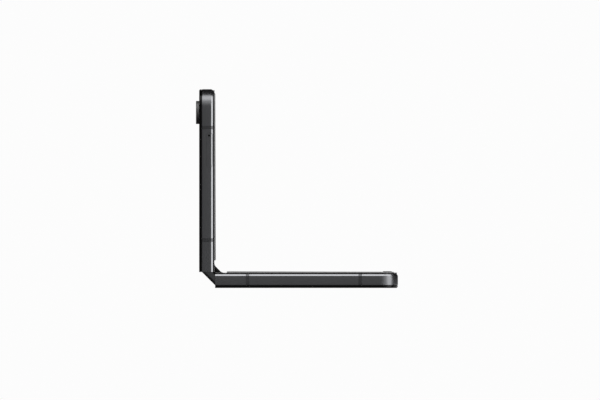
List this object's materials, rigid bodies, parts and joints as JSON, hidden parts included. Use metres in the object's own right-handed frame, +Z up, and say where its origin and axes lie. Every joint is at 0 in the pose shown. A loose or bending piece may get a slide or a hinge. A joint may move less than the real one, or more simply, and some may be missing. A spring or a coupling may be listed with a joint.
{
  "type": "folding smartphone",
  "caption": "Clamshell folding smartphone opened to a right angle, with a geared hinge spine, a folding inner screen, side keys, a card tray and a camera pair on the cover.",
  "frame": {"origin": "centre of the lower half's back face, on which the phone rests", "axes": "+X from the fold towards the lower half's free end, +Y towards the edge with the keys, +Z up; the upper half stands at the -X end"},
  "size_m": [0.091, 0.0723, 0.0896],
  "materials": {
    "graphite_frame": "satin",
    "black_glass": "gloss",
    "antenna_plastic": "matt",
    "rim_plastic": "satin",
    "bumper_rubber": "matt",
    "screen": "gloss",
    "screen_fold": "gloss",
    "steel_plate": "brushed",
    "guide_steel": "machined",
    "bright_steel": "bright",
    "battery_wrap": "satin film",
    "circuit_board": "solder mask",
    "copper_coil": "wound",
    "black_plastic": "matt",
    "motor_case": "plain",
    "ring_metal": "satin",
    "lens_glass": "coated",
    "camera_body": "matt",
    "flash_lens": "frosted",
    "spine_metal": "satin",
    "key_metal": "satin",
    "tray_metal": "satin",
    "gear_brass": "machined"
  },
  "bodies": {
    "spine": {"hinge_spine": "spine_metal", "hinge_end_caps": "black_plastic", "hinge_brackets": "guide_steel", "hinge_screws": "bright_steel", "hinge_shafts": "bright_steel", "friction_washers": "bright_steel", "fold_support": "steel_plate", "display_fold_lower": "screen_fold", "display_fold_upper": "screen_fold"},
    "lower_arms": {"lower_hinge_arms": "guide_steel"},
    "lower_half": {"lower_frame": "graphite_frame", "lower_back_glass": "black_glass", "lower_antenna_breaks": "antenna_plastic", "lower_rim": "rim_plastic", "lower_bumper_pads": "bumper_rubber", "lower_display": "screen", "lower_support_plate": "steel_plate", "lower_arm_guides": "guide_steel", "lower_battery": "battery_wrap", "charging_coil": "copper_coil", "lower_board": "circuit_board", "usb_c_shell": "bright_steel", "usb_c_tongue": "black_plastic", "loudspeaker": "black_plastic", "vibration_motor": "motor_case", "lower_screws": "bright_steel"},
    "upper_arms": {"upper_hinge_arms": "guide_steel"},
    "upper_half": {"upper_frame": "graphite_frame", "cover_glass": "black_glass", "cover_display": "screen", "upper_antenna_breaks": "antenna_plastic", "upper_rim": "rim_plastic", "camera_rings": "ring_metal", "camera_lenses": "lens_glass", "camera_modules": "camera_body", "flash_led": "flash_lens", "upper_display": "screen", "upper_support_plate": "steel_plate", "upper_arm_guides": "guide_steel", "upper_battery": "battery_wrap", "main_board": "circuit_board", "shield_cans": "bright_steel", "sim_reader": "bright_steel", "key_switches": "bright_steel", "earpiece": "black_plastic", "front_camera": "black_plastic", "upper_screws": "bright_steel"},
    "idler_lower": {"idler_gear_lower": "gear_brass"},
    "idler_upper": {"idler_gear_upper": "gear_brass"},
    "sim_tray_body": {"sim_tray": "tray_metal"},
    "power_key_body": {"power_key": "key_metal"},
    "volume_rocker_body": {"volume_rocker": "key_metal"}
  },
  "joints": [
    {"name": "lower_fold", "type": "hinge", "parent": "spine", "child": "lower_arms", "pos_m": [-0.03921, 0, 0.00365], "axis": [0, -1, 0], "range_deg": [-45, 45], "deforming": ["display_fold_lower"]},
    {"name": "lower_half_slide", "type": "slide", "parent": "lower_arms", "child": "lower_half", "axis": [1, 0, 0], "range_m": [-0.00176, 0.00176]},
    {"name": "upper_fold", "type": "hinge", "parent": "spine", "child": "upper_arms", "pos_m": [-0.04472, 0, 0.00917], "axis": [0, 1, 0], "range_deg": [-45, 45], "deforming": ["display_fold_upper"]},
    {"name": "upper_half_slide", "type": "slide", "parent": "upper_arms", "child": "upper_half", "axis": [0, 0, 1], "range_m": [-0.00176, 0.00176]},
    {"name": "idler_lower_turn", "type": "hinge", "parent": "spine", "child": "idler_lower", "pos_m": [-0.04105, 0, 0.00549], "axis": [0, 1, 0], "range_deg": [-45, 45]},
    {"name": "idler_upper_turn", "type": "hinge", "parent": "spine", "child": "idler_upper", "pos_m": [-0.04288, 0, 0.00733], "axis": [0, 1, 0], "range_deg": [-45, 45]},
    {"name": "sim_tray_slide", "type": "slide", "parent": "upper_half", "child": "sim_tray_body", "axis": [0, -1, 0], "range_m": [0, 0.0175]},
    {"name": "power_key_press", "type": "slide", "parent": "upper_half", "child": "power_key_body", "axis": [0, -1, 0], "range_m": [0, 0.00025], "stiffness_N_per_m": 6000, "springref_m": -0.00008},
    {"name": "volume_rocker_tilt", "type": "hinge", "parent": "upper_half", "child": "volume_rocker_body", "pos_m": [-0.04507, 0.03435, 0.06097], "axis": [1, 0, 0], "range_deg": [-1.2, 1.2], "stiffness_Nm_per_rad": 0.3}
  ],
  "couplings": [
    {"joint": "lower_half_slide", "follows": "lower_fold", "m_per_rad": 0.0022375},
    {"joint": "upper_fold", "follows": "lower_fold", "ratio": 1},
    {"joint": "upper_half_slide", "follows": "lower_fold", "m_per_rad": 0.0022375},
    {"joint": "idler_lower_turn", "follows": "lower_fold", "ratio": 1},
    {"joint": "idler_upper_turn", "follows": "lower_fold", "ratio": -1}
  ]
}
